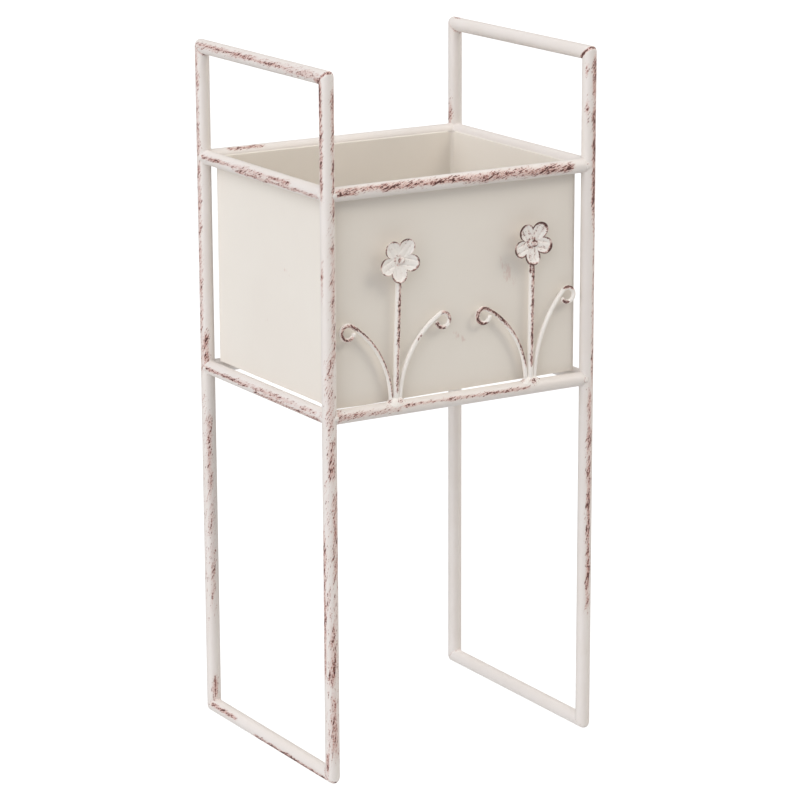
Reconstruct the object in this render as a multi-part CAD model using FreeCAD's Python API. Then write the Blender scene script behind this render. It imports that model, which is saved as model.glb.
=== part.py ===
import FreeCAD, Part
import math
import os

from FreeCAD import Vector

# A welded plant stand: two side frames of round tube, two rings of rails, a sheet box and wire flowers.
# Millimetres. The origin is on the floor under the middle of the stand, the flowers face -Y, and +Z is up.

# Frame
tube_diameter = 10.0
tube_wall = 1.0
frame_width = 209.0        # left to right, between the legs' axes
frame_depth = 172.0        # front to back, between the legs' axes
lower_rail_height = 260.0  # floor to the lower rails' axes
rail_spacing = 152.0       # lower rails' axes to the upper rails' axes
handle_rise = 78.0         # upper rails' axes to the handle bars' axes
cope_gap = 0.1             # between a rail's curved end and its leg

# Planter box
sheet = 0.8
box_gap = 1.8              # between the box and the rails round it
wall_bend = 3.0            # outside radius of the box's upright corners
rim_rise = 0.6             # top of the rim above the upper rails' axes
rim_gap = 0.1              # between the rim's edge and the rails
rim_relief = 0.6           # rim cut back from each bent corner
base_lip = 8.0             # height of the base tray's edge
base_gap = 0.1             # between the base tray and the walls

# Flowers
stem_diameter = 3.5
leaf_diameter = 2.5
head_below_rail = 49.7     # middle of a flower head to the upper rail's axis
left_flower_inset = 47.0   # from the leg's inner side to the foot of the stem
right_flower_inset = 42.5
left_stem_lean = 2.0       # degrees to the right
right_stem_lean = 0.8
stem_past_head = 4.0       # stem above the middle of the flower head
foot_gap = 0.6             # between the feet of a stem and a leaf
leaf_length = 65.0         # leaf wire from the rail to its curl
curl_radius = 5.1
curl_turn = 280.0          # degrees
curl_to_leg = 3.4          # from the outer curl to the leg
curl_to_curl = 19.8        # between the two inner curls
petal_count = 5
petal_reach = 15.6         # middle of the flower to the tip of a petal
petal_notch = 10.8         # middle of the flower to the notch between two petals
petal_sheet = 0.8
head_dish = 2.0            # how far the petal tips stand in front of the middle
head_gap = 0.1             # between the head and the stem behind it
rivet_diameter = 5.0
rivet_height = 1.8
shank_diameter = 2.2
shank_gap = 0.1

# Welds
collar_thickness = 0.9     # weld round a rail's end
collar_start = 2.5         # from the leg's axis
collar_edge = 0.15
tack_length = 8.0
tack_height = 1.6
tack_places = (-0.5, 0.5)  # along half a side, from its middle
lump_thickness = 1.1       # weld round a wire's foot
lump_height = 1.6
lump_edge = 0.3            # weld left round a wire at the top of a lump
weld_gap = 0.05            # between a weld and the metal it joins

# Worked out from the sizes above
tube_radius = tube_diameter / 2
half_width = frame_width / 2
half_depth = frame_depth / 2
upper_rail_height = lower_rail_height + rail_spacing
stand_height = upper_rail_height + handle_rise + tube_radius
stem_radius = stem_diameter / 2
leaf_radius = leaf_diameter / 2
rim_top = upper_rail_height + rim_rise
box_bottom = lower_rail_height + tube_radius
box_half_width = half_width - tube_radius - box_gap
box_half_depth = half_depth - tube_radius - box_gap
rim_curve = box_gap - rim_gap
wall_top = rim_top - rim_curve - sheet
rail_top = lower_rail_height + tube_radius
flower_height = upper_rail_height - head_below_rail - rail_top

ACROSS = Vector(1, 0, 0)
DEEP = Vector(0, 1, 0)
UP = Vector(0, 0, 1)
# The four sides of a ring, each with its outward direction
SIDES = {"front": DEEP * -1, "back": DEEP, "left": ACROSS * -1, "right": ACROSS}


def rod(start, end, radius):
    """A plain round rod from one point to another."""
    along = end - start
    return Part.makeCylinder(radius, along.Length, start, along)


def mitred_tube(start, end, inward, overrun):
    """A tube between two corner points, cut at 45 degrees at both ends towards the inward side.

    The overrun is how far it goes past those points on its outer side.
    """
    along = (end - start).normalize()
    past = along * overrun
    reach = along * tube_radius
    inner = inward * tube_radius
    thick = along.cross(inward) * tube_radius
    tube = rod(start - reach, end + reach, tube_radius)
    tube = tube.cut(rod(start - reach, end + reach, tube_radius - tube_wall))
    corners = [start - past - inner, start, start + reach + inner]
    corners += [end - reach + inner, end, end + past - inner]
    outline = [corner - thick for corner in corners]
    keep = Part.Face(Part.makePolygon(outline + outline[:1])).extrude(thick * 2)
    return tube.common(keep).removeSplitter()


def leg_rod(corner, radius):
    """A rod that stands for the leg at a corner, to cut other pieces with."""
    foot = Vector(corner.x, corner.y, 0)
    return rod(foot, foot + UP * stand_height, radius)


def ring_corners(side, height):
    """The two leg axes that a rail on this side runs between, at one height."""
    outward = SIDES[side]
    along = outward.cross(UP)
    middle = Vector(outward.x * half_width, outward.y * half_depth, height)
    half = Vector(along.x * half_width, along.y * half_depth, 0)
    return middle - half, middle + half


def rail(side, height):
    """A rail of a ring: mitred to its neighbours, with its ends cut to the legs' curve."""
    start, end = ring_corners(side, height)
    piece = mitred_tube(start, end, SIDES[side] * -1, 0)
    for corner in (start, end):
        piece = piece.cut(leg_rod(corner, tube_radius + cope_gap))
    return piece


def rail_rod(side, height, extra):
    """A rod that stands for a rail, to cut other pieces with."""
    start, end = ring_corners(side, height)
    return rod(start, end, tube_radius + extra)


def side_frame(x_side):
    """The four mitred tubes of one side frame, by name."""
    x = x_side * half_width
    low = tube_radius
    high = stand_height - tube_radius
    front_low = Vector(x, -half_depth, low)
    front_high = Vector(x, -half_depth, high)
    back_low = Vector(x, half_depth, low)
    back_high = Vector(x, half_depth, high)
    return {
        "front_leg": mitred_tube(front_low, front_high, DEEP, tube_radius),
        "back_leg": mitred_tube(back_low, back_high, DEEP * -1, tube_radius),
        "handle_bar": mitred_tube(front_high, back_high, UP * -1, tube_radius),
        "floor_bar": mitred_tube(front_low, back_low, UP, tube_radius),
    }


def weld_collar(x_side, y_side, height):
    """The weld round the ends of the two rails that meet one leg."""
    corner = Vector(x_side * half_width, y_side * half_depth, height)
    length = tube_radius + collar_thickness - collar_start
    collar = None
    for inward in (ACROSS * -x_side, DEEP * -y_side):
        start = corner + inward * collar_start
        wide = tube_radius + collar_thickness
        cone = Part.makeCone(wide, tube_radius + collar_edge, length, start, inward)
        collar = cone if collar is None else collar.fuse(cone)
    collar = collar.cut(leg_rod(corner, tube_radius + weld_gap))
    side_names = ("left" if x_side < 0 else "right", "front" if y_side < 0 else "back")
    for side in side_names:
        collar = collar.cut(rail_rod(side, height, weld_gap))
    return collar.removeSplitter()


def frame_welds():
    """All the weld collars of both rings."""
    collars = []
    for height in (lower_rail_height, upper_rail_height):
        for x_side in (-1, 1):
            for y_side in (-1, 1):
                collars.append(weld_collar(x_side, y_side, height))
    return collars


def rounded_block(half_x, half_y, radius, low, high):
    """An upright block with rounded upright edges, in the middle of the stand."""
    corner = Vector(-half_x, -half_y, low)
    block = Part.makeBox(half_x * 2, half_y * 2, high - low, corner)
    upright = [edge for edge in block.Edges if abs(edge.tangentAt(edge.FirstParameter).z) > 0.5]
    return block.makeFillet(radius, upright)


def rim_strip(side):
    """The rim of one side: the sheet rolled a quarter turn outwards to the rail."""
    outward = SIDES[side]
    along = outward.cross(UP)
    half_side = abs(along.x) * box_half_width + abs(along.y) * box_half_depth
    half_length = half_side - wall_bend - rim_relief
    face_middle = Vector(outward.x * box_half_width, outward.y * box_half_depth, wall_top)
    centre = face_middle + outward * rim_curve - along * half_length

    def at(radius, degrees):
        turn = math.radians(degrees)
        return centre + outward * (radius * math.cos(turn)) + UP * (radius * math.sin(turn))

    wide = rim_curve + sheet
    edges = [
        Part.Arc(at(wide, 180), at(wide, 135), at(wide, 90)).toShape(),
        Part.makeLine(at(wide, 90), at(rim_curve, 90)),
        Part.Arc(at(rim_curve, 90), at(rim_curve, 135), at(rim_curve, 180)).toShape(),
        Part.makeLine(at(rim_curve, 180), at(wide, 180)),
    ]
    return Part.Face(Part.Wire(edges)).extrude(along * (half_length * 2))


def planter_wall():
    """The four walls as one bent sheet, with the rim rolled outwards on each side."""
    outside = rounded_block(box_half_width, box_half_depth, wall_bend, box_bottom, wall_top)
    inside = rounded_block(box_half_width - sheet, box_half_depth - sheet, wall_bend - sheet,
                           box_bottom, wall_top)
    wall = outside.cut(inside)
    return wall.fuse([rim_strip(side) for side in SIDES]).removeSplitter()


def planter_base():
    """The base tray, folded up at its edge and set inside the walls."""
    inset = sheet + base_gap
    outside = rounded_block(box_half_width - inset, box_half_depth - inset, wall_bend - inset,
                            box_bottom, box_bottom + base_lip)
    inset = inset + sheet
    inside = rounded_block(box_half_width - inset, box_half_depth - inset, wall_bend - inset,
                           box_bottom + sheet, box_bottom + base_lip)
    return outside.cut(inside)


def rim_welds():
    """Two tack welds on each side, between the wall and the rail, just under the rim."""
    tacks = []
    for side, outward in SIDES.items():
        along = outward.cross(UP)
        half_side = abs(along.x) * box_half_width + abs(along.y) * box_half_depth
        face_middle = Vector(outward.x * box_half_width, outward.y * box_half_depth, wall_top)
        for place in tack_places:
            start = face_middle + outward * weld_gap + along * (place * half_side - tack_length / 2)
            low = start - UP * tack_height
            reach = outward * (box_gap + tube_radius)
            outline = [low, low + reach, start + reach, start]
            block = Part.Face(Part.makePolygon(outline + outline[:1])).extrude(along * tack_length)
            tacks.append(block.cut(rail_rod(side, upper_rail_height, weld_gap)))
    return tacks


def bend_for_reach(reach):
    """The turn, in radians, that brings a leaf wire's curl out to the wanted reach from its foot."""
    least = 0.05
    most = math.pi / 2
    for _ in range(60):
        turn = (least + most) / 2
        bend = leaf_length / turn
        out = bend * (1 - math.cos(turn)) + curl_radius * (1 + math.cos(turn)) + leaf_radius
        if out < reach:
            least = turn
        else:
            most = turn
    return turn


def leaf(foot, sideways, reach):
    """A leaf wire: straight up off the rail, one long bend outwards, then a tight curl the same way."""
    turn = bend_for_reach(reach)
    bend = leaf_length / turn
    axis = sideways.cross(UP) * -1
    bend_centre = foot + sideways * bend
    tip = bend_centre - sideways * (bend * math.cos(turn)) + UP * (bend * math.sin(turn))
    heading = sideways * math.sin(turn) + UP * math.cos(turn)
    curl_centre = tip + sideways * (curl_radius * math.cos(turn)) - UP * (curl_radius * math.sin(turn))
    low_section = Part.Face(Part.Wire(Part.makeCircle(leaf_radius, foot, UP)))
    tip_section = Part.Face(Part.Wire(Part.makeCircle(leaf_radius, tip, heading)))
    wire = rod(foot - UP * tube_radius, foot, leaf_radius)
    wire = wire.fuse(low_section.revolve(bend_centre, axis, math.degrees(turn)))
    wire = wire.fuse(tip_section.revolve(curl_centre, axis, curl_turn))
    return wire.cut(rail_rod("front", lower_rail_height, cope_gap)).removeSplitter()


def flower_head(middle):
    """A pressed flower: petals with round tips, dished so that the tips stand in front of the middle."""
    step = 2 * math.pi / petal_count
    first = -math.pi / 2

    def at(radius, turn):
        return Vector(middle.x + radius * math.cos(turn), middle.y, middle.z + radius * math.sin(turn))

    arcs = []
    for petal in range(petal_count):
        tip = first + petal * step
        before = at(petal_notch, tip - step / 2)
        after = at(petal_notch, tip + step / 2)
        arcs.append(Part.Arc(before, at(petal_reach, tip), after).toShape())
    outline = Part.Face(Part.Wire(arcs))
    depth = DEEP * (head_dish + petal_sheet) * -2
    prism = outline.extrude(depth)
    dish_radius = (petal_reach ** 2 + head_dish ** 2) / (2 * head_dish)
    dish_centre = middle - DEEP * dish_radius
    dish = Part.makeSphere(dish_radius, dish_centre)
    dish = dish.cut(Part.makeSphere(dish_radius - petal_sheet, dish_centre))
    hole = rod(middle + DEEP, middle + depth, shank_diameter / 2 + shank_gap)
    return prism.common(dish).cut(hole)


def flower_rivet(middle):
    """A domed rivet: its head lies on the flower, and its shank goes through to the stem."""
    radius = rivet_diameter / 2
    seat = middle - DEEP * (petal_sheet + shank_gap)
    ball = (radius ** 2 + rivet_height ** 2) / (2 * rivet_height)
    dome = Part.makeSphere(ball, seat + DEEP * (ball - rivet_height))
    front = seat - DEEP * (rivet_height * 2) - ACROSS * (ball * 2) - UP * (ball * 2)
    dome = dome.common(Part.makeBox(ball * 4, rivet_height * 2, ball * 4, front))
    shank = rod(seat, middle, shank_diameter / 2)
    return dome.fuse(shank).removeSplitter()


def weld_lump(feet, holes):
    """The weld round the feet of one flower's wires, on top of the rail."""
    lump = None
    for foot, radius in feet:
        wide = radius + lump_thickness
        drop = tube_radius - math.sqrt(tube_radius ** 2 - wide ** 2)
        cone = Part.makeCone(wide, radius + lump_edge, drop + lump_height, foot - UP * drop, UP)
        lump = cone if lump is None else lump.fuse(cone)
    for hole in holes:
        lump = lump.cut(hole)
    return lump.cut(rail_rod("front", lower_rail_height, weld_gap)).removeSplitter()


def flower(stem_x, lean, left_reach, right_reach):
    """One flower on the front lower rail: its pieces by name, and its weld."""
    foot = Vector(stem_x, -half_depth, rail_top)
    slope = ACROSS * math.tan(math.radians(lean)) + UP
    stem_start = foot - slope * tube_radius
    stem_end = foot + slope * (flower_height + stem_past_head)
    head_middle = foot + slope * flower_height - DEEP * (stem_radius + head_gap)
    step = stem_radius + leaf_radius + foot_gap
    left_foot = foot - ACROSS * step
    right_foot = foot + ACROSS * step
    stem = rod(stem_start, stem_end, stem_radius)
    pieces = {
        "stem": stem.cut(rail_rod("front", lower_rail_height, cope_gap)),
        "left_leaf": leaf(left_foot, ACROSS * -1, left_reach - step),
        "right_leaf": leaf(right_foot, ACROSS, right_reach - step),
        "head": flower_head(head_middle),
        "rivet": flower_rivet(head_middle),
    }
    holes = [rod(stem_start, stem_end, stem_radius + weld_gap)]
    for leaf_foot in (left_foot, right_foot):
        start = leaf_foot - UP * tube_radius
        holes.append(rod(start, leaf_foot + UP * (lump_height * 2), leaf_radius + weld_gap))
    feet = [(foot, stem_radius), (left_foot, leaf_radius), (right_foot, leaf_radius)]
    return pieces, weld_lump(feet, holes)


def all_pieces():
    """Every node's solids by name."""
    nodes = {}
    for side_name, x_side in (("left", -1), ("right", 1)):
        for name, piece in side_frame(x_side).items():
            nodes[side_name + "_" + name] = [piece]
    for level, height in (("upper", upper_rail_height), ("lower", lower_rail_height)):
        for side in SIDES:
            nodes[side + "_" + level + "_rail"] = [rail(side, height)]
    nodes["frame_welds"] = frame_welds()
    nodes["planter_wall"] = [planter_wall()]
    nodes["planter_base"] = [planter_base()]
    nodes["rim_welds"] = rim_welds()
    leg_side = half_width - tube_radius
    left_x = left_flower_inset - leg_side
    right_x = leg_side - right_flower_inset
    inner_reach = (right_x - left_x - curl_to_curl) / 2
    flowers = {
        "left_flower": (left_x, left_stem_lean, left_flower_inset - curl_to_leg, inner_reach),
        "right_flower": (right_x, right_stem_lean, inner_reach, right_flower_inset - curl_to_leg),
    }
    lumps = []
    for flower_name, place in flowers.items():
        pieces, lump = flower(*place)
        lumps.append(lump)
        for name, piece in pieces.items():
            nodes[flower_name + "_" + name] = [piece]
    nodes["flower_welds"] = lumps
    return nodes


os.makedirs("parts", exist_ok=True)
for node, shapes in all_pieces().items():
    solids = [solid for shape in shapes for solid in shape.Solids]
    Part.makeCompound(solids).exportStep("parts/" + node + ".step")
    volume = sum(solid.Volume for solid in solids)
    print(node, len(solids), "solids", round(volume, 1), "mm3", all(solid.isValid() for solid in solids))
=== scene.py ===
# %% [markdown]
# A painted plant stand, seen as in its photograph.
# Two side frames of round tube carry a sheet-metal planter between two rings of rails, and two wire
# flowers stand on the front lower rail. Everything is painted cream and rubbed through to pink and brown.
# The packed CAD model is the frame: it says where each piece is, in metres, with the flowers towards -Y
# and +Z up. The pieces below are worked out round it with numpy, because a formula gives clean rings of
# points that the rubbed paint can follow.

# %% Load the packed model
import itertools
import math
from collections import namedtuple

import bpy
import numpy as np
from mathutils import Matrix, Vector


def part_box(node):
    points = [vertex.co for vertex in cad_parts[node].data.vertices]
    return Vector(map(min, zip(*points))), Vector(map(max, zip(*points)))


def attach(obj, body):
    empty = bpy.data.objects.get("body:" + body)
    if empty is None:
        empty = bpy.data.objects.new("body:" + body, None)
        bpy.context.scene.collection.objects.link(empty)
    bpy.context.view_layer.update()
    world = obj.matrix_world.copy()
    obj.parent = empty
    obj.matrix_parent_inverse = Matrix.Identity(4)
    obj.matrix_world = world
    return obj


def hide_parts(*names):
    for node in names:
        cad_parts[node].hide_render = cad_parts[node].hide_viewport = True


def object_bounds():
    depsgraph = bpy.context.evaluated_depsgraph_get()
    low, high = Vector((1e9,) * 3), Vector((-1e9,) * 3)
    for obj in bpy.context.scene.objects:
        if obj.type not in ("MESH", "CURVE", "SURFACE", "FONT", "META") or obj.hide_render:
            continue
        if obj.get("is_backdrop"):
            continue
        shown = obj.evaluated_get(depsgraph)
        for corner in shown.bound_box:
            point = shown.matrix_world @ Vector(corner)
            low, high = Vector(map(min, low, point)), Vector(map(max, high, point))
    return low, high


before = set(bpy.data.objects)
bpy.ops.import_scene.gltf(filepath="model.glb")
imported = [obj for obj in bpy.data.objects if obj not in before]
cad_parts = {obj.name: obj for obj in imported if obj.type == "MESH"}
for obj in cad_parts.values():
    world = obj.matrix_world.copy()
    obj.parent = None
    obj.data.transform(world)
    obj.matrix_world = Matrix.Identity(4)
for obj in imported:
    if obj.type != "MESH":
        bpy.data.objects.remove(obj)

scene = bpy.context.scene
cad_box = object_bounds()
print("CAD nodes:", len(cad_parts))
print("CAD box in metres:", [[round(value, 4) for value in corner] for corner in cad_box])

# %% [markdown]
# Every size that the CAD nodes show is read from their boxes, so the looks stay on the model if it changes.
# A leg's box gives the tube's radius and where the leg stands, and a rail's box gives its height.

# %% Measure the frame
MM = 0.001
RIGHT = np.array([1.0, 0.0, 0.0])
BACK = np.array([0.0, 1.0, 0.0])
UP = np.array([0.0, 0.0, 1.0])
SIDES = {"front": -BACK, "back": BACK, "left": -RIGHT, "right": RIGHT}


def corners(node):
    """The lowest and the highest corner of a CAD node, as arrays."""
    low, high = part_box(node)
    return np.array(low), np.array(high)


leg_low, leg_high = corners("right_front_leg")
rod_radius = (leg_high[0] - leg_low[0]) / 2
half_width = (leg_high[0] + leg_low[0]) / 2
half_depth = -(leg_high[1] + leg_low[1]) / 2
half_frame = np.array([half_width, half_depth, 0.0])
floor_bar_height = leg_low[2] + rod_radius
handle_height = leg_high[2] - rod_radius
rail_height = {level: sum(corners("front_" + level + "_rail"))[2] / 2 for level in ("lower", "upper")}
legs_at = [round(value / MM, 1) for value in half_frame[:2]]
print("tube radius", round(rod_radius / MM, 2), "mm, legs at", legs_at, "mm from the middle")
print("rails at", {level: round(height / MM, 1) for level, height in rail_height.items()}, "mm")

# %% [markdown]
# The photograph was taken with a long lens from the front left, a little above the planter's rim.
# The camera's place comes from matching the tube corners with their pixels, and its lens is given as a
# focal length in pixels of the 800-pixel picture, turned into millimetres of Blender's 36 mm sensor.

# %% Camera
image_pixels = 800
focal_pixels = 3248.0
camera_distance = 2.310
camera_azimuth = -31.42
camera_elevation = 14.48
camera_roll = math.radians(-0.22)
camera_aim = Vector((3.8 * MM, 0.2 * MM, 239.1 * MM))


def new_object(name, data):
    """A new object in the scene."""
    added = bpy.data.objects.new(name, data)
    scene.collection.objects.link(added)
    return added


def seen_from(azimuth, elevation):
    """The direction at an azimuth (0 is the front, 90 the right) and an elevation, both in degrees."""
    a = math.radians(azimuth)
    e = math.radians(elevation)
    return Vector((math.sin(a) * math.cos(e), -math.cos(a) * math.cos(e), math.sin(e)))


backward = seen_from(camera_azimuth, camera_elevation)
camera_data = bpy.data.cameras.new("photo_camera")
camera_data.sensor_width = 36.0
camera_data.lens = camera_data.sensor_width * focal_pixels / image_pixels
camera = new_object("photo_camera", camera_data)
camera.location = camera_aim + backward * camera_distance
facing = (-backward).to_track_quat("-Z", "Y").to_matrix() @ Matrix.Rotation(camera_roll, 3, "Z")
camera.rotation_euler = facing.to_euler()
scene.camera = camera
print("lens", round(camera_data.lens, 1), "mm, camera", [round(value, 3) for value in camera.location])

# %% [markdown]
# A Blender mesh is a list of points and a list of faces that name them by number. A numpy grid of points,
# rows by columns, gives both at once: each quad joins a point to its neighbours in the next column and row.
# Each surface also carries two things for the paint. "rub" says how hard the paint was rubbed there, and
# "brush" is a place in stroke widths and stroke lengths, so that noise read there runs along the strokes.

# %% Surfaces from grids of points
Surface = namedtuple("Surface", "points quads triangles rub brush")


def grid_quads(rows, columns, closed_rows):
    """Point numbers of the quads of a grid whose columns close into rings, and its rows too if asked."""
    row = np.arange(rows if closed_rows else rows - 1)[:, None]
    column = np.arange(columns)[None, :]
    next_row = (row + 1) % rows
    next_column = (column + 1) % columns
    corner_numbers = np.broadcast_arrays(
        row * columns + column,
        row * columns + next_column,
        next_row * columns + next_column,
        next_row * columns + column,
    )
    return np.stack(corner_numbers, axis=-1).reshape(-1, 4)


def looped_skin(grid, rub, brush):
    """A surface that closes on itself both ways, like a tyre."""
    rows, columns = grid.shape[:2]
    quads = grid_quads(rows, columns, True)
    no_triangles = np.zeros((0, 3), int)
    return Surface(grid.reshape(-1, 3), quads, no_triangles, rub.reshape(-1), brush.reshape(-1, 3))


def closed_skin(grid, rub, brush):
    """Rings of points joined by quads, with a fan of triangles to a pole in the middle of each end ring."""
    rows, columns = grid.shape[:2]
    column = np.arange(columns)
    following = (column + 1) % columns
    last = (rows - 1) * columns
    first_pole = np.full(columns, rows * columns)
    fans = [
        np.stack([first_pole, following, column], axis=1),
        np.stack([first_pole + 1, last + column, last + following], axis=1),
    ]

    def with_poles(values):
        """The grid's values as a list, then the means of its first and last ring."""
        ends = np.stack([values[0].mean(axis=0), values[-1].mean(axis=0)])
        return np.concatenate([values.reshape((rows * columns,) + values.shape[2:]), ends])

    quads = grid_quads(rows, columns, False)
    return Surface(with_poles(grid), quads, np.concatenate(fans), with_poles(rub), with_poles(brush))


def turned_over(surface):
    """The same surface with its faces pointing the other way."""
    return surface._replace(quads=surface.quads[:, ::-1], triangles=surface.triangles[:, ::-1])


print("a grid of 3 rings of 4 points has", len(grid_quads(3, 4, False)), "quads")

# %% [markdown]
# One function makes every piece, so that each is named, rides on the stand's only body, hides the CAD node
# that it stands for and gets the paint of its slot. Faces are smooth except where they meet at a real edge.

# %% Pieces from surfaces
EDGE_ANGLE = math.radians(48.0)
paints = {}


def make_piece(node, surfaces, slot):
    """Join surfaces into one painted mesh object that stands for a CAD node."""
    faces = []
    count = 0
    for surface in surfaces:
        faces += (surface.quads + count).tolist()
        faces += (surface.triangles + count).tolist()
        count += len(surface.points)
    name = "painted_" + node
    mesh = bpy.data.meshes.new(name)
    mesh.from_pydata(np.concatenate([surface.points for surface in surfaces]).tolist(), [], faces)
    rub = mesh.attributes.new("rub", "FLOAT", "POINT")
    rub.data.foreach_set("value", np.concatenate([surface.rub for surface in surfaces]))
    brush = mesh.attributes.new("brush", "FLOAT_VECTOR", "POINT")
    brush.data.foreach_set("vector", np.concatenate([surface.brush for surface in surfaces]).ravel())
    mesh.shade_smooth()
    mesh.set_sharp_from_angle(angle=EDGE_ANGLE)
    mesh.materials.append(paints[slot])
    piece = new_object(name, mesh)
    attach(piece, "root")
    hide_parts(node)
    print(name, count, "points")


print("faces that meet at over", round(math.degrees(EDGE_ANGLE)), "degrees keep their edge")

# %% [markdown]
# Paint recipes are sums and products of patterns. Adding Math nodes by hand hides the recipe, so a small
# class wraps an output socket: an expression such as 1 - mask then adds the nodes that work it out.
# Its node method adds every other kind of node, with its settings first and its inputs after.

# %% Shader arithmetic
NOISE_ROUGHNESS = 0.6
PAINT_IOR = 1.5


class Socket:
    """An output socket in a shader tree, with arithmetic that adds Math nodes."""

    def __init__(self, tree, output=None):
        self.tree = tree
        self.output = output

    def node(self, kind, settings=None, inputs=None, output=0):
        """Add a node of a kind: set its settings, then the values or links of its inputs; give an output."""
        added = self.tree.nodes.new("ShaderNode" + kind)
        for name, setting in (settings or {}).items():
            setattr(added, name, setting)
        for name, value in (inputs or {}).items():
            if isinstance(value, Socket):
                self.tree.links.new(value.output, added.inputs[name])
            else:
                added.inputs[name].default_value = value
        return Socket(self.tree, added.outputs[output] if added.outputs else None)

    def math(self, operation, first, second):
        """A Math node on two values."""
        return self.node("Math", {"operation": operation}, {0: first, 1: second})

    def __add__(self, other):
        return self.math("ADD", self, other)

    __radd__ = __add__

    def __sub__(self, other):
        return self.math("SUBTRACT", self, other)

    def __rsub__(self, other):
        return self.math("SUBTRACT", other, self)

    def __mul__(self, other):
        return self.math("MULTIPLY", self, other)

    __rmul__ = __mul__

    def ramp(self, low, high):
        """0 up to low, 1 from high, and a smooth step between."""
        limits = {"Value": self, "From Min": low, "From Max": high}
        return self.node("MapRange", {"interpolation_type": "SMOOTHSTEP"}, limits)

    def over(self, under, coat):
        """A coat of colour over another colour, where this mask is 1."""
        return self.node("Mix", {"data_type": "RGBA"}, {0: self, 6: under, 7: coat}, 2)

    def noise(self, scale, detail):
        """Soft noise from 0 to 1, read at this place."""
        inputs = {"Vector": self, "Scale": scale, "Detail": detail, "Roughness": NOISE_ROUGHNESS}
        return self.node("TexNoise", None, inputs)


def new_paint(name):
    """An empty material, kept under its name, and a socket to build its nodes from."""
    paint = bpy.data.materials.new(name)
    paint.use_nodes = True
    paint.node_tree.nodes.clear()
    paints[name] = paint
    return paint, Socket(paint.node_tree)


def paint_places(start):
    """What a paint is worked out from: the rub, the place along the strokes and the place in the piece."""
    rub = start.node("Attribute", {"attribute_name": "rub"}, None, "Fac")
    brush = start.node("Attribute", {"attribute_name": "brush"}, None, "Vector")
    return rub, brush, start.node("TexCoord", None, None, "Object")


def finish_paint(paint, start, colour, roughness, bumps):
    """Join a colour, a roughness and the inputs of a bump into a painted surface."""
    bump = start.node("Bump", None, bumps)
    looks = {"Base Color": colour, "Roughness": roughness, "Normal": bump, "IOR": PAINT_IOR}
    start.node("OutputMaterial", None, {"Surface": start.node("BsdfPrincipled", None, looks)})
    print(paint.name, "has", len(paint.node_tree.nodes), "nodes")


print("a socket can do", [name for name in vars(Socket) if not name.startswith("_")])

# %% [markdown]
# The tubes and wires are cream, with a brown wash brushed over and wiped off again. The wash left a sandy
# pink haze, brown streaks along the strokes of the brush, and specks that are nearly black.
# The haze follows the rub attribute softly. Streaks and specks come from one sum of noises that is higher
# where more was rubbed: above one height it is a streak, and above the next a speck. The flowers' wash is
# umber.

# %% Rubbed paint
PINK = (0.62, 0.40, 0.35, 1.0)
BROWN = (0.38, 0.13, 0.095, 1.0)
UMBER = (0.30, 0.11, 0.08, 1.0)
DARK_BROWN = (0.055, 0.013, 0.010, 1.0)


def rubbed_paint(name, cream, shaded_cream, streak_brown):
    """Cream paint with a pink haze, brown streaks and dark specks where the rub attribute is high."""
    paint, start = new_paint(name)
    rub, brush, place = paint_places(start)
    strokes = brush.noise(1.0, 2.0)
    patches = brush.noise(0.2, 2.0)
    grain = brush.noise(1.8, 1.0)
    specks = place.noise(780.0, 1.0)
    clouds = place.noise(38.0, 2.0)
    sand = place.noise(1400.0, 1.0).ramp(0.35, 0.65)
    touched = rub.ramp(0.02, 0.3)
    haze = (rub + 0.8 * (patches - 0.5) + 0.5 * (strokes - 0.5)).ramp(0.18, 0.88)
    wiped = 0.6 * strokes + 0.2 * grain + 0.3 * specks + 0.2 * rub + 0.3 * (patches - 0.5)
    streaks = touched * wiped.ramp(0.68, 0.73)
    dark = touched * wiped.ramp(0.74, 0.765)
    colour = clouds.ramp(0.3, 0.7).over(cream, shaded_cream)
    colour = (haze * (0.42 + 0.66 * sand)).over(colour, PINK)
    colour = (0.72 * streaks).over(colour, streak_brown)
    colour = (0.92 * dark).over(colour, DARK_BROWN)
    roughness = 0.4 + 0.12 * (specks - 0.5) + 0.16 * dark
    height = 0.5 * strokes + 0.3 * specks - 0.6 * dark
    bumps = {"Height": height, "Strength": 0.35, "Distance": 0.12 * MM}
    finish_paint(paint, start, colour, roughness, bumps)


rubbed_paint("tube_paint", (0.785, 0.73, 0.692, 1.0), (0.77, 0.71, 0.665, 1.0), BROWN)
rubbed_paint("flower_paint", (0.895, 0.85, 0.805, 1.0), (0.875, 0.825, 0.775, 1.0), UMBER)

# %% [markdown]
# The planter is sprayed, so it is smoother than the tubes: a satin cream with hardly any tone in it.
# It has a few faint pink scuffs and fine scratches, again where the rub attribute is high.

# %% Sprayed paint of the planter
def sprayed_paint(name, cream, shaded_cream):
    """Smooth satin cream with soft clouds, a fine spray grain and faint scuffs."""
    paint, start = new_paint(name)
    rub, brush, place = paint_places(start)
    clouds = place.noise(14.0, 3.0)
    spray = place.noise(900.0, 2.0)
    strokes = brush.noise(1.0, 3.0)
    scuff = (strokes + 0.5 * rub).ramp(0.72, 0.98) * rub.ramp(0.05, 0.5)
    colour = clouds.ramp(0.3, 0.7).over(cream, shaded_cream)
    colour = (0.45 * scuff).over(colour, PINK)
    roughness = 0.42 + 0.1 * (clouds - 0.5) + 0.08 * scuff
    height = 0.5 * spray + 0.3 * clouds
    bumps = {"Height": height, "Strength": 0.12, "Distance": 0.05 * MM}
    finish_paint(paint, start, colour, roughness, bumps)


sprayed_paint("box_paint", (0.812, 0.76, 0.69, 1.0), (0.797, 0.74, 0.67, 1.0))

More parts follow.
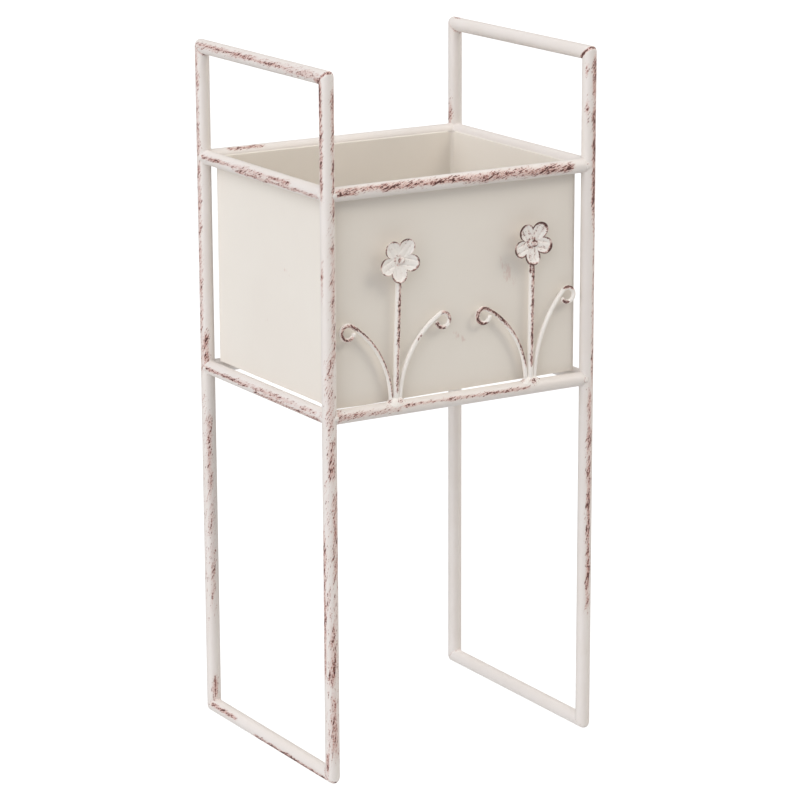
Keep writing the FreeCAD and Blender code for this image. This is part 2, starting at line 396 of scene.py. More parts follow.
# %% [markdown]
# Where the brown was rubbed on is chosen from the photograph, rod by rod. A rub is a stretch of a
# rod, round a direction that it faces. Its row says start, stop, direction, spread to both sides and
# strength, with the directions in degrees and the rest in percent.
# A leg is measured from the floor up, and its directions from the front (0) to the right (90).
# A rail or bar is measured from left to right as seen from outside, and its directions from outside (0) to
# the top (90).

# %% Where the tubes are rubbed
RUB_FADE = 0.03


def bell(distance):
    """1 at no distance, falling off to both sides as e to the minus its square."""
    return np.exp(-(distance ** 2))


def rub_field(share, degrees, rubs):
    """How hard each point was rubbed.

    Each rub is a bell across its direction, faded at its ends, and where rubs overlap the strongest counts.
    """
    field = np.zeros(np.broadcast(share, degrees).shape)
    for start, stop, turn, spread, strength in rubs:
        fade_in = np.clip((share - start / 100) / RUB_FADE + 0.5, 0.0, 1.0)
        fade_out = np.clip((stop / 100 - share) / RUB_FADE + 0.5, 0.0, 1.0)
        off = (degrees - turn + 180.0) % 360.0 - 180.0
        field = np.maximum(field, strength / 100 * fade_in * fade_out * bell(off / spread))
    return field


tube_rubs = {
    "left_front_leg": [
        (83, 97, -86, 25, 84), (94, 100, -93, 26, 110), (80, 99, 26, 25, 72), (83, 90, 26, 21, 92),
        (95.5, 98.5, 26, 31, 85), (49, 84, 8, 50, 30), (60, 78, 14, 34, 62), (50, 62, -20, 56, 54),
        (69, 75, -88, 22, 66), (43, 50, -12, 45, 68), (28, 43, 14, 48, 56), (34, 39, 12, 25, 82),
        (14, 37, -88, 20, 82), (13, 24, -18, 48, 60), (3, 13, -4, 48, 66), (2, 45, 12, 50, 40),
        (2, 45, -52, 42, 32), (0, 4, -80, 30, 75),
    ],
    "left_back_leg": [
        (86, 100, -86, 28, 64), (93, 96.5, -80, 28, 78), (84, 88, -84, 31, 78), (52, 84, -80, 30, 62),
        (52.5, 58.5, -44, 34, 86), (33, 46, -28, 34, 66), (14, 35, -22, 45, 46), (10, 50, -70, 48, 30),
        (1, 5, -14, 28, 85), (15, 95, 160, 40, 46), (22, 40, 150, 30, 66), (55, 80, 165, 30, 70),
    ],
    "right_front_leg": [
        (93, 100, 18, 31, 108), (96.5, 99, -55, 17, 75), (90.5, 94, -48, 20, 70), (76, 93, 18, 25, 102),
        (50, 80, 24, 18, 66), (17, 52, -2, 28, 72), (20, 36, 2, 17, 94), (5, 90, 95, 40, 46),
        (15, 40, 88, 30, 68), (55, 72, 100, 28, 66),
    ],
    "right_back_leg": [
        (84.5, 89, -80, 31, 86), (6, 85, 110, 42, 44), (16, 38, 100, 30, 66), (50, 90, 165, 36, 48),
        (58, 76, 170, 28, 68),
    ],
    "left_handle_bar": [
        (0, 100, 18, 36, 56), (3, 40, 24, 21, 76), (36, 76, 14, 18, 84), (70, 98, 2, 36, 62),
        (95.5, 100, -40, 60, 120), (0, 2, 30, 28, 85),
    ],
    "right_handle_bar": [
        (95, 100, 96, 25, 72), (2, 98, 16, 38, 46), (12, 38, 20, 24, 70), (48, 80, 8, 24, 74),
    ],
    "left_floor_bar": [(2, 25, 24, 20, 95), (40, 100, -28, 24, 110)],
    "right_floor_bar": [(5, 85, 10, 30, 44), (20, 45, 14, 22, 68)],
    "front_upper_rail": [
        (0, 30, 34, 31, 72), (18, 64, 22, 36, 84), (32, 54, 12, 20, 98), (50, 93, 12, 48, 84),
        (1, 10, 2, 14, 105),
    ],
    "back_upper_rail": [
        (78, 92, 124, 21, 84), (3, 97, 16, 40, 46), (15, 42, 18, 28, 72), (50, 80, 10, 26, 76),
    ],
    "left_upper_rail": [
        (0, 32, 14, 20, 74), (26, 76, 14, 36, 56), (45, 76, 22, 17, 74), (30, 100, -16, 25, 70),
        (97, 100, 0, 70, 75),
    ],
    "right_upper_rail": [(2, 96, 15, 38, 46), (10, 40, 20, 26, 70), (52, 78, 8, 24, 72)],
    "front_lower_rail": [
        (0, 26, 4, 36, 62), (26, 52, 22, 18, 72), (42, 76, 14, 18, 72), (0, 4, 10, 84, 75),
    ],
    "back_lower_rail": [(5, 92, 10, 38, 46), (18, 46, 6, 26, 72), (58, 82, 14, 24, 68)],
    "left_lower_rail": [
        (0, 40, 6, 19, 86), (28, 95, 18, 29, 60), (44, 100, -26, 24, 78), (96, 100, 0, 84, 75),
    ],
    "right_lower_rail": [(4, 96, 12, 38, 46), (30, 62, 10, 26, 72), (70, 90, 18, 24, 68)],
}
print("rubs on the tubes:", sum(len(rubs) for rubs in tube_rubs.values()))

# %% [markdown]
# Every tube is a circle carried along a straight line, so a point on it has a place along the rod and a turn
# round it. Strokes of the brush wind round the rod, so the brush place is the point on the circle turned back
# by the slope of the strokes, with the place along counted in stroke lengths. Each rod starts its count
# somewhere else, so that no two have the same strokes.

# %% Rings of points on a rod
ROD_POINTS = 40
STROKE_WIDTH = 0.82 * MM
STROKES_APART = 15.0
strokes_begin = itertools.count(0.0, STROKES_APART)


def full_turn(points):
    """Angles of evenly spaced points round a circle."""
    return np.linspace(0.0, 2 * np.pi, points, endpoint=False)


def length_along(path):
    """How far along a path each of its points is."""
    return np.concatenate([[0.0], np.cumsum(np.linalg.norm(np.diff(path, axis=0), axis=1))])


def rod_basis(start, end, out):
    """The length and direction of a rod, the turns round it, and the spokes from its axis at those turns."""
    along = end - start
    length = np.linalg.norm(along)
    along = along / length
    turn = full_turn(ROD_POINTS)
    spokes = np.cos(turn)[:, None] * out + np.sin(turn)[:, None] * np.cross(along, out)
    return length, along, turn, spokes


def brush_place(place, turn, radius, slope, stroke_length):
    """Place on a rod in stroke widths round it and stroke lengths along it, with the strokes on a slope."""
    wound = turn - slope * place / radius
    begin = next(strokes_begin)
    wide = radius / STROKE_WIDTH
    return np.stack([wide * np.cos(wound), wide * np.sin(wound), place / stroke_length + begin], axis=-1)


print("a rod has", ROD_POINTS, "points round it, and strokes", round(STROKE_WIDTH / MM, 2), "mm wide")

# %% [markdown]
# A side frame is four tubes cut at 45 degrees, welded into a rectangle and ground smooth, so the outer
# corner is rounded and the inner one has a small fillet. Each line along a tube turns the corner on its own
# arc, larger for lines further out. A tube keeps its half of every arc, up to the 45-degree plane, so two
# tubes meet without a gap. The seams there are rubbed as hard as SEAM_RUBS says.
# Strokes on a leg are long and straight at its foot, and get shorter and more slanted towards the top. On
# bars and rails they wind the other way.

# %% Mitred tubes of the side frames
RING_STEP = 2.0 * MM
OUTER_ROUND = 3.2 * MM
INNER_ROUND = 0.8 * MM
CORNER_RINGS = 7
SEAM_WIDTH = 1.2 * MM
SEAM_RUBS = {
    "floor": {"left_front": 0.9, "left_back": 0.4, "right_front": 0.3, "right_back": 0.3},
    "handle": {"left_front": 1.5, "left_back": 0.7, "right_front": 2.1, "right_back": 0.5},
}
FOOT_SLOPE = 0.05
FOOT_STROKE = 9.0 * MM
LEG_SLOPE = 0.32
LEG_QUICKER = 0.7
RAIL_SLOPE = -0.32
STROKE_LENGTH = 4.0 * MM


def mitred_tube(start, end, out, inward, rubs, seam_rubs, is_bar):
    """A tube between two corners of a side frame.

    A line at distance w towards the outside has an arc of radius a at each corner. At lean t of that arc,
    from 0 on the straight to 45 degrees on the cut, it is a - w - a sin t along from the corner and
    a (1 - cos t) further in than on the straight.
    """
    length, along, turn, spokes = rod_basis(start, end, out)
    outer = -(spokes @ inward) * rod_radius
    arc = INNER_ROUND + (OUTER_ROUND - INNER_ROUND) * (outer / rod_radius + 1.0) / 2.0
    lean = np.linspace(np.pi / 4, 0.0, CORNER_RINGS)[:, None]
    corner_place = arc - outer - arc * np.sin(lean)
    corner_pull = arc * (1.0 - np.cos(lean))
    share = np.linspace(0.0, 1.0, round(length / RING_STEP))[1:-1, None]
    straight_place = (arc - outer) + (length - 2.0 * (arc - outer)) * share
    place = np.concatenate([corner_place, straight_place, (length - corner_place)[::-1]])
    pull = np.concatenate([corner_pull, np.zeros_like(straight_place), corner_pull[::-1]])
    grid = start + place[..., None] * along + spokes * rod_radius + pull[..., None] * inward
    if is_bar:
        rubbed = 1.0 - place / length
        slope = RAIL_SLOPE
        stroke_length = STROKE_LENGTH
    else:
        rubbed = place / length
        slope = FOOT_SLOPE + LEG_SLOPE * rubbed
        stroke_length = FOOT_STROKE / (1.0 + LEG_QUICKER * rubbed)
    from_start = (place - place[0]) / SEAM_WIDTH
    from_end = (place[-1] - place) / SEAM_WIDTH
    seams = seam_rubs[0] * bell(from_start) + seam_rubs[1] * bell(from_end)
    more_inside = 0.8 - 0.2 * outer / rod_radius
    rub = np.maximum(rub_field(rubbed, np.degrees(turn), rubs), seams * more_inside)
    return closed_skin(grid, rub, brush_place(place, turn, rod_radius, slope, stroke_length))


for side in ("left", "right"):
    outward = SIDES[side]
    right_hand, left_hand = ("front", "back") if side == "left" else ("back", "front")
    corner, seam = {}, {}
    for face in ("front", "back"):
        for level, height in (("floor", floor_bar_height), ("handle", handle_height)):
            corner[face, level] = outward * half_width + SIDES[face] * half_depth + UP * height
            seam[face, level] = SEAM_RUBS[level][side + "_" + face]
    tubes = {
        "front_leg": (("front", "floor"), ("front", "handle"), -BACK, BACK),
        "back_leg": (("back", "floor"), ("back", "handle"), -BACK, -BACK),
        "handle_bar": ((right_hand, "handle"), (left_hand, "handle"), outward, -UP),
        "floor_bar": ((right_hand, "floor"), (left_hand, "floor"), outward, UP),
    }
    for tube, (first, last, out, inward) in tubes.items():
        node = side + "_" + tube
        seams = (seam[first], seam[last])
        skin = mitred_tube(corner[first], corner[last], out, inward, tube_rubs[node], seams, "bar" in tube)
        make_piece(node, [skin], "tube_paint")

# %% [markdown]
# A rail runs from leg to leg, and its ends are cut to the legs' curve and to the next rail. Both rods have
# the same radius, so the line at turn t round the rail stops where the two round surfaces cross, or at
# 45 degrees where the next rail comes first. The ends go a little way into the leg, under the weld, and the
# rails are set back a hair, so that the legs stand out.

# %% Rails
RAIL_SUNK = 0.3 * MM
RAIL_SET_BACK = 0.4 * MM


def ring_corners(side, level):
    """The two leg axes at the ends of a rail, right-hand end first as seen from outside."""
    outward = SIDES[side]
    along = np.cross(outward, UP)
    middle = outward * (half_frame - RAIL_SET_BACK) + UP * rail_height[level]
    half = along * half_frame
    return middle - half, middle + half


def end_reach(turn):
    """How far a rail's end is from the leg's axis, for a rail set back by b and rods of radius r.

    The line at turn t is r cos t - b out from the leg's axis, so it meets the leg at the square root of
    r^2 - (r cos t - b)^2, or the next rail at b - r cos t, whichever is further.
    """
    out = rod_radius * np.cos(turn) - RAIL_SET_BACK
    at_leg = np.sqrt(np.maximum(rod_radius ** 2 - out ** 2, 0.0))
    return np.maximum(at_leg, -out)


def coped_rail(start, end, out, rubs):
    """A rail between two legs, with its ends at end_reach from the legs' axes."""
    length, along, turn, spokes = rod_basis(start, end, out)
    reach = end_reach(turn) - RAIL_SUNK
    share = np.linspace(0.0, 1.0, round(length / RING_STEP))[:, None]
    place = reach + (length - 2.0 * reach) * share
    grid = start + place[..., None] * along + spokes * rod_radius
    rub = rub_field(1.0 - place / length, np.degrees(turn), rubs)
    return closed_skin(grid, rub, brush_place(place, turn, rod_radius, RAIL_SLOPE, STROKE_LENGTH))


for side, outward in SIDES.items():
    for level in rail_height:
        node = side + "_" + level + "_rail"
        start, end = ring_corners(side, level)
        skin = coped_rail(start, end, outward, tube_rubs[node])
        make_piece(node, [skin], "tube_paint")

# %% [markdown]
# The rails are welded to the legs by hand, and under the paint the weld shows as a soft uneven ring.
# It could be cut from the CAD collar, but a bead is easier as a small circle carried round the rail's end
# curve, with its size changing as it goes: long waves for the hand and short ones for the drops of weld.
# Beside it, on the outside of each rail end, sits a low round spot of weld.

# %% Welds of the frame
BEAD_RADIUS = 1.9 * MM
BEAD_SUNK = 1.6 * MM
BEAD_STEPS = 96
BEAD_SIDES = 12
SPOT_RADIUS = 1.9 * MM
SPOT_HEIGHT = 0.9 * MM
SPOT_SUNK = 0.15 * MM
SPOT_IN = 3.1 * MM
SPOT_RINGS = 10
SPOT_POINTS = 24


def bead_waves(turn, seed):
    """Uneven size of a weld: 1, plus a slow wave and a quick one."""
    return 1.0 + 0.08 * np.sin(3 * turn + 1.7 * seed) + 0.05 * np.sin(11 * turn + 2.9 * seed)


def end_weld(corner, along, out, seed):
    """The bead round a rail's end: a circle of changing size, carried round the curve of the cut."""
    turn = full_turn(BEAD_STEPS)[:, None]
    lap = full_turn(BEAD_SIDES)[None, :]
    size = BEAD_RADIUS * bead_waves(turn, seed)
    place = end_reach(turn) + size * np.cos(lap)
    lift = rod_radius - BEAD_SUNK + size * np.sin(lap)
    spokes = np.cos(turn)[..., None] * out + np.sin(turn)[..., None] * UP
    grid = corner + place[..., None] * along + lift[..., None] * spokes
    rub = 0.14 + 0.12 * np.sin(2 * turn + seed) * np.cos(lap)
    skin = looped_skin(grid, rub, brush_place(place, turn, rod_radius, RAIL_SLOPE, STROKE_LENGTH))
    return skin if np.dot(np.cross(out, UP), along) > 0 else turned_over(skin)


def weld_spot(middle, along, out, seed):
    """A low dome on the rail: rings of radius r cos t, h sin t out, from just under its surface."""
    lean = np.linspace(-0.6, 1.5, SPOT_RINGS)[:, None]
    turn = full_turn(SPOT_POINTS)[None, :]
    radius = SPOT_RADIUS * np.cos(lean) * bead_waves(turn, seed)
    lift = SPOT_HEIGHT * np.sin(lean) + 0 * turn
    grid = middle + (radius * np.cos(turn))[..., None] * along + (radius * np.sin(turn))[..., None] * UP
    grid = grid + lift[..., None] * out
    rub = (0.3 + 0.4 * np.sin(turn + seed)) * bell((lean - 0.3) / 0.4)
    skin = closed_skin(grid, np.maximum(rub, 0.0), grid / STROKE_WIDTH)
    return skin if np.dot(np.cross(UP, out), along) > 0 else turned_over(skin)


beads = []
for side, outward in SIDES.items():
    for level in rail_height:
        start, end = ring_corners(side, level)
        along = (end - start) / np.linalg.norm(end - start)
        ends = ((start, along), (end, -along))
        for corner, inward in ends:
            beads.append(end_weld(corner, inward, outward, len(beads)))
        for corner, inward in ends:
            middle = corner + outward * (rod_radius - SPOT_SUNK) + inward * SPOT_IN
            beads.append(weld_spot(middle, inward, outward, len(beads)))
make_piece("frame_welds", beads, "tube_paint")

# %% [markdown]
# The planter is one sheet bent round four corners, with its top edge in a small roll out to the rails. The
# roll is cut away at the corners, because a sheet can't be rolled and bent at the same place.
# So a profile, up the outside, over the roll and down the inside, is carried round a rounded rectangle, and
# the roll is folded away to nothing at the corners. A real sheet isn't quite flat, so it is bowed a little.
# Nor is its bottom edge cut straight, and light shows under it: EDGE_LIFTS says how far up it is at
# EDGE_PLACES, measured round the wall from the left end of the front.

# %% Planter wall
SHEET = 0.8 * MM
RIM_ROLL = 0.5 * MM
RIM_RELIEF = 0.6 * MM
WALL_BEND = 3.8 * MM
CUT_WIDTH = 0.04 * MM
WALL_COLUMNS = 56
WALL_ROWS = 48
BEND_COLUMNS = 7
ROLL_ROWS = 8
BOW = 0.45 * MM
EDGE_PLACES = np.array([0.0, 20.0, 45.0, 97.0, 190.0, 350.0, 545.0, 560.0, 690.0, 702.0]) * MM
EDGE_LIFTS = np.array([-0.8, -1.2, -0.8, -0.3, 0.6, 0.0, 0.0, 0.3, 0.3, -0.8]) * MM
ring_order = ("front", "right", "back", "left")

wall_low, wall_high = corners("planter_wall")
wall_bottom = wall_low[2]
wall_top = wall_high[2] - RIM_ROLL - SHEET
wall_half = np.array([wall_high[0] - RIM_ROLL, wall_high[1] - RIM_ROLL, 0.0])


def wall_path():
    """Feet of the wall's columns, the ways they face, and 1 where the rim is rolled or 0 where it is cut."""
    stretches = []
    for side in ring_order:
        outward = SIDES[side]
        along = np.cross(UP, outward)
        half = abs(along) @ wall_half - WALL_BEND
        cut = half - RIM_RELIEF
        rolled_places = np.linspace(-cut, cut, WALL_COLUMNS)
        places = np.concatenate([[-half, -cut - CUT_WIDTH], rolled_places, [cut + CUT_WIDTH]])
        feet = outward * wall_half + places[:, None] * along
        rolled = (np.abs(places) <= cut).astype(float)
        stretches.append((feet, np.broadcast_to(outward, feet.shape), rolled))
        bend = np.linspace(0.0, np.pi / 2, BEND_COLUMNS)[:-1, None]
        spokes = np.cos(bend) * outward + np.sin(bend) * along
        centre = (outward + along) * (wall_half - WALL_BEND)
        stretches.append((centre + WALL_BEND * spokes, spokes, np.zeros(len(bend))))
    return [np.concatenate(values) for values in zip(*stretches)]


def wall_profile():
    """Rows of the wall: offset and height of the flat sheet, and what the rolled rim adds to each.

    The roll is a quarter circle underneath, and squarer on top, with the roots of the cosine and sine.
    """
    rise = np.linspace(wall_bottom, wall_top, WALL_ROWS)
    roll = np.linspace(0.0, np.pi / 2, ROLL_ROWS)
    outer_edge = RIM_ROLL + SHEET
    none = np.zeros(WALL_ROWS)
    outside = np.stack([none, rise, none, none])
    under = np.stack([0 * roll, 0 * roll + wall_top, RIM_ROLL * (1 - np.cos(roll)), RIM_ROLL * np.sin(roll)])
    over_out = outer_edge * (1 - np.cos(roll) ** 0.5)
    over_up = outer_edge * np.sin(roll) ** 0.5
    over = np.stack([0 * roll - SHEET, 0 * roll + wall_top, over_out, over_up])
    inside = np.stack([none - SHEET, rise, none, none])
    return np.concatenate([outside, under[:, 1:], over[:, ::-1], inside[:, -2::-1]], axis=1)[..., None]


feet, facing_out, rolled = wall_path()
flat_out, flat_up, roll_out, roll_up = wall_profile()
offset = flat_out + rolled * roll_out
height = flat_up + rolled * roll_up
middle_share = np.sin(np.pi * np.clip((flat_up - wall_bottom) / (wall_top - wall_bottom), 0.0, 1.0))
along_share = (feet / (wall_half + UP)).sum(axis=1)
bow = BOW * middle_share * np.cos(1.3 * along_share) * (np.abs(facing_out).max(axis=1) > 0.999)
round_wall = length_along(feet)
down_share = np.clip((wall_top - flat_up) / (wall_top - wall_bottom), 0.0, 1.0)
lift = np.interp(round_wall, EDGE_PLACES, EDGE_LIFTS) * down_share
grid = feet + (offset + bow)[..., None] * facing_out + (height + lift)[..., None] * UP
print("planter wall", grid.shape[:2], "rows and columns,", round(round_wall[-1] / MM, 1), "mm round")

# %% [markdown]
# The scuffs on the planter are faint patches on its front and left walls. Each is an oval on the wall with a
# bell-shaped strength, and leans as the photograph's do. A row says its wall, its place across and up, its
# width and height in millimetres, its lean in degrees and its strength.

# %% Scuffs on the planter
scuffs = [
    ("front", 42, 341, 5, 13, -25, 0.8),
    ("front", 36, 353, 3, 6, -25, 0.6),
    ("front", 3, 302, 2.5, 8, -50, 0.85),
    ("left", 19, 349, 2, 9, -58, 0.75),
    ("left", -8, 309, 3, 8, -40, 0.5),
]


def scuff_field(points):
    """How hard each wall point was scuffed: ovals turned by their lean, each a bell both ways."""
    field = np.zeros(points.shape[:-1])
    for side, middle, height, wide, tall, lean, strength in scuffs:
        outward = SIDES[side]
        across = points @ np.cross(UP, outward) - middle * MM
        up = points[..., 2] - height * MM
        lean = math.radians(lean)
        over_width = (across * math.cos(lean) - up * math.sin(lean)) / (wide * MM)
        over_height = (across * math.sin(lean) + up * math.cos(lean)) / (tall * MM)
        outer_face = points @ outward > wall_half @ np.abs(outward) - SHEET / 2
        field = np.maximum(field, strength * bell(over_width) * bell(over_height) * outer_face)
    return field


stroke_size = np.array([1.6 * MM, 1.6 * MM, 4.5 * MM])
wall_skin = looped_skin(grid, scuff_field(grid), grid / stroke_size)
make_piece("planter_wall", [wall_skin], "box_paint")

# %% [markdown]
# The base tray is a flat folded sheet, and its CAD shape is already right, so it stays and only gets the
# planter's paint.

# %% Planter base
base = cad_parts["planter_base"]
for material_slot in base.material_slots:
    material_slot.material = paints["box_paint"]
print("planter base slots:", len(base.material_slots))

# %% [markdown]
# Small tack welds under the rim hold the planter to the upper rails. Each is a short drop of weld: an oval
# carried along the rail that shrinks to a point at both ends.

# %% Tack welds under the rim
TACK_LENGTH = 8.0 * MM
TACK_HEIGHT = 1.6 * MM
TACK_PLACES = (-0.5, 0.5)
TACK_SUNK = 0.35 * MM
TACK_BELOW = 3.8 * MM
TACK_RINGS = 17
TACK_POINTS = 14


def tack_weld(middle, along, outward, deep, seed):
    """An oval drop: rings along its length, shrunk by the cosine of a latitude and a little wavy."""
    latitude = np.linspace(-1.45, 1.45, TACK_RINGS)[:, None]
    lap = full_turn(TACK_POINTS)[None, :]
    size = np.cos(latitude) * bead_waves(latitude * 2, seed)
    place = TACK_LENGTH / 2 * np.sin(latitude) + 0 * lap
    out = deep * size * np.cos(lap)
    up = TACK_HEIGHT / 2 * size * np.sin(lap)
    grid = middle + place[..., None] * along + out[..., None] * outward + up[..., None] * UP
    return closed_skin(grid, 0.1 + 0 * place, grid / STROKE_LENGTH)


rail_under = math.sqrt(rod_radius ** 2 - TACK_BELOW ** 2)
tacks = []
for side in ring_order:
    outward = SIDES[side]
    along = np.cross(outward, UP)
    rail_axis = np.abs(outward) @ half_frame - RAIL_SET_BACK
    clear = rail_axis - rail_under - np.abs(outward) @ wall_half
    for place in TACK_PLACES:
        middle = outward * (wall_half + clear / 2) + along * wall_half * place
        middle = middle + UP * (rail_height["upper"] - TACK_BELOW)
        tacks.append(tack_weld(middle, along, outward, clear / 2 + TACK_SUNK, len(tacks)))
make_piece("rim_welds", tacks, "box_paint")

# %% [markdown]
# The flowers are round wire. A stem is straight and leans a little. A leaf wire rises straight off the rail,
# bends outwards on one long arc and ends in a tight curl the same way.
# Each is a circle carried along its path. The path lies in a plane that faces the front, so the spokes of
# each ring are the front direction and the one square to it and to the path. A round end closes the wire.
# Paint is thick on thin wire, so its thickness is added to the wire's radius.

# %% Wires of the flowers
STEM_RADIUS = 1.75 * MM
LEAF_RADIUS = 1.25 * MM
PAINT_ON_STEM = 0.4 * MM
PAINT_ON_LEAF = 0.28 * MM
CURL_RADIUS = 5.1 * MM
CURL_TURN = math.radians(288.0)
WIRE_STEP = 0.8 * MM
WIRE_POINTS = 20
TIP_RINGS = 6
TIP_LONG = 0.7
FOOT_SUNK = 1.5 * MM
WIRE_SLOPE = 0.12
WIRE_STROKE = 2.2 * MM


def round_wire(path, radius, rubs):
    """A circle carried along a path in the plane that faces the front, closed by a rounded tip."""
    heading = np.gradient(path, axis=0)
    heading = heading / np.linalg.norm(heading, axis=1)[:, None]
    tip = np.linspace(0.0, np.pi / 2, TIP_RINGS)[1:, None]
    path = np.concatenate([path, path[-1] + TIP_LONG * radius * np.sin(tip) * heading[-1]])
    heading = np.concatenate([heading, np.broadcast_to(heading[-1], (len(tip), 3))])
    tip_size = 0.02 * radius + 0.98 * radius * np.cos(tip[:, 0])
    size = np.concatenate([np.full(len(path) - len(tip), radius), tip_size])
    place = length_along(path)[:, None]
    turn = full_turn(WIRE_POINTS)
    beside = np.cross(heading, -BACK)
    spokes = np.cos(turn)[None, :, None] * -BACK + np.sin(turn)[None, :, None] * beside[:, None, :]
    grid = path[:, None, :] + size[:, None, None] * spokes
    rub = rub_field(place / place[-1], np.degrees(turn), rubs)
    return closed_skin(grid, rub, brush_place(place + 0 * turn, turn, radius, WIRE_SLOPE, WIRE_STROKE))


def leaf_path(foot, sideways, reach, length):
    """The middle line of a leaf wire: up, round a long bend to the wanted reach, then round the curl.

    A bend of length L through t reaches L / t (1 - cos t) to the curl of radius c, which adds c (1 + cos t)
    and half the wire.
    """
    turns = np.linspace(0.05, np.pi / 2, 400)
    reaches = length / turns * (1 - np.cos(turns)) + CURL_RADIUS * (1 + np.cos(turns)) + LEAF_RADIUS
    bend_turn = np.interp(reach, reaches, turns)
    bend = length / bend_turn
    below = np.linspace(-FOOT_SUNK, 0.0, 3)[:-1, None] * UP
    rising_turn = np.linspace(0.0, bend_turn, round(length / WIRE_STEP))[:, None]
    rising = bend * (1 - np.cos(rising_turn)) * sideways + bend * np.sin(rising_turn) * UP
    curl_steps = round(CURL_RADIUS * CURL_TURN / WIRE_STEP)
    curl_turn = np.linspace(0.0, CURL_TURN, curl_steps)[1:, None] + bend_turn
    curl_side = (math.cos(bend_turn) - np.cos(curl_turn)) * sideways
    curl_up = (np.sin(curl_turn) - math.sin(bend_turn)) * UP
    curl = CURL_RADIUS * (curl_side + curl_up)
    return foot + np.concatenate([below, rising, rising[-1] + curl])


def stem_path(node):
    """The middle line of a stem, which leans to the right, read from its box."""
    low, high = corners(node)
    foot = np.array([low[0] + STEM_RADIUS, (low[1] + high[1]) / 2, low[2]])
    top = np.array([high[0] - STEM_RADIUS, foot[1], high[2]])
    steps = np.linspace(0.0, 1.0, round(np.linalg.norm(top - foot) / WIRE_STEP))[:, None]
    return foot + (top - foot) * steps


print("painted leaf wire", round(2 * (LEAF_RADIUS + PAINT_ON_LEAF) / MM, 2), "mm thick")

# %% [markdown]
# On the wires the brown was brushed along one edge. Directions round a wire go from the front (0) to the side
# that lies on the right of its path (90), and a stretch is counted on the whole wire from its foot.
# Each leaf was bent by hand: its row says how long the bend is and how far it is drawn in, in millimetres.

# %% Stems and leaves
wire_rubs = {
    "left_flower_stem": [(6, 100, 6, 36, 98)],
    "right_flower_stem": [(10, 100, 4, 40, 105), (74, 100, -60, 30, 95)],
    "left_flower_left_leaf": [(5, 74, 26, 38, 104), (66, 97, -10, 60, 105)],
    "left_flower_right_leaf": [(73, 86, -30, 70, 85), (90, 100, -10, 80, 95), (46, 52, -20, 50, 50)],
    "right_flower_left_leaf": [(12, 62, 24, 46, 100), (48, 94, 24, 64, 110)],
    "right_flower_right_leaf": [(73, 81, -40, 50, 140), (93, 99, -10, 60, 120)],
}
leaf_bends = {
    "left_flower_left_leaf": (67.0, 0.0),
    "left_flower_right_leaf": (67.5, 0.5),
    "right_flower_left_leaf": (67.0, 0.0),
    "right_flower_right_leaf": (66.5, 1.8),
}
for flower in ("left_flower", "right_flower"):
    stem = flower + "_stem"
    path = stem_path(stem)
    skin = round_wire(path, STEM_RADIUS + PAINT_ON_STEM, wire_rubs[stem])
    make_piece(stem, [skin], "flower_paint")
    for hand, sideways in (("left", -RIGHT), ("right", RIGHT)):
        leaf = flower + "_" + hand + "_leaf"
        low, high = corners(leaf)
        inner, outer = (high, low) if hand == "left" else (low, high)
        foot = np.array([inner[0], -half_depth, rail_height["lower"] + rod_radius]) + sideways * LEAF_RADIUS
        bend_length, drawn_in = np.array(leaf_bends[leaf]) * MM
        reach = abs(outer[0] - foot[0]) - drawn_in
        path = leaf_path(foot, sideways, reach, bend_length)
        skin = round_wire(path, LEAF_RADIUS + PAINT_ON_LEAF, wire_rubs[leaf])
        make_piece(leaf, [skin], "flower_paint")
        print(leaf, "reaches", round(reach / MM, 1), "mm to the side")

# %% [markdown]
# A flower head is pressed from sheet: five round petals, dished towards the front, each with a raised edge
# and two grooves along it. It is worked out in rings round its middle. The outline of a petal is a circle of
# its own, so the outer radius at turn t off the petal's middle line is c cos t + sqrt(q^2 - c^2 sin^2 t).
# The rings run from the middle of the back out to the edge, and over the front to the middle. The petals were
# bent by hand, so their turns and reaches differ, and the head sits a little off its rivet.

# %% Flower heads
PETAL_TURNS = np.radians([56.0, 123.0, 201.0, 270.0, 346.0])
PETAL_REACHES = np.array([16.4, 15.2, 15.8, 15.4, 15.6]) * MM
PETAL_ROUND = 5.9 * MM
HEAD_DISH = 2.0 * MM
PETAL_SHEET = 0.8 * MM
EDGE_RAISED = 0.7 * MM
GROOVE_DEEP = 0.55 * MM
GROOVE_APART = 4.4 * MM
HEAD_COLUMNS = 240
HEAD_BACK_RINGS = 12
HEAD_FRONT_RINGS = 34
EDGE_WIDE = 1.5 * MM
HUB_RADIUS = 3.2 * MM
HUB_WIDE = 1.1 * MM
HEAD_SHIFT = np.array([-2.0 * MM, 0.0, 0.4 * MM])
Wear = namedtuple("Wear", "rim rim_wide rivet")


def petal_edge(turn):
    """The head's outer radius at each turn, and the turn off the middle line of the petal that it is on."""
    centres = PETAL_REACHES - PETAL_ROUND
    off = (turn[:, None] - PETAL_TURNS + np.pi) % (2 * np.pi) - np.pi
    inside = np.maximum(PETAL_ROUND ** 2 - (centres * np.sin(off)) ** 2, 0.0)
    edges = centres * np.cos(off) + np.sqrt(inside) * (np.cos(off) > 0)
    own = edges.argmax(axis=1)[:, None]
    return np.take_along_axis(edges, own, axis=1)[:, 0], np.take_along_axis(off, own, axis=1)[:, 0]


